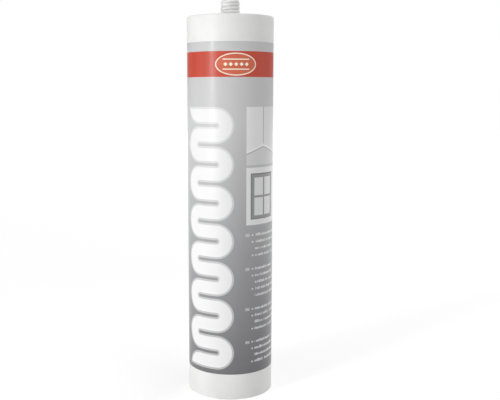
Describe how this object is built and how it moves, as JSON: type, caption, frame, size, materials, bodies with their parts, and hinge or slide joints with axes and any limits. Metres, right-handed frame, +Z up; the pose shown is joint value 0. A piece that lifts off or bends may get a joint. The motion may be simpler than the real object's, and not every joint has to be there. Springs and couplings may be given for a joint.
{
  "type": "caulk tube",
  "caption": "Sealant cartridge: a slim barrel with a recessed head and threaded spout, a wrapped label, and a piston that slides in from the open base.",
  "frame": {"origin": "centre of the open base's rim, where the tube stands", "axes": "+Z up the barrel's axis from the open base to the spout; -Y is the front of the label; +X to the right seen from the front"},
  "size_m": [0.05, 0.05, 0.2298],
  "materials": {
    "barrel_plastic": "satin white polyethylene",
    "label_film": "semi-gloss printed film",
    "piston_plastic": "natural polyethylene",
    "sealant_paste": "smooth wet paste"
  },
  "bodies": {
    "cartridge": {"barrel": "barrel_plastic", "label": "label_film", "sealant": "sealant_paste"},
    "piston": {"piston": "piston_plastic"}
  },
  "joints": [
    {"name": "piston_slide", "type": "slide", "parent": "cartridge", "child": "piston", "axis": [0, 0, 1], "range_m": [0, 0.178], "deforming": ["sealant"]}
  ]
}
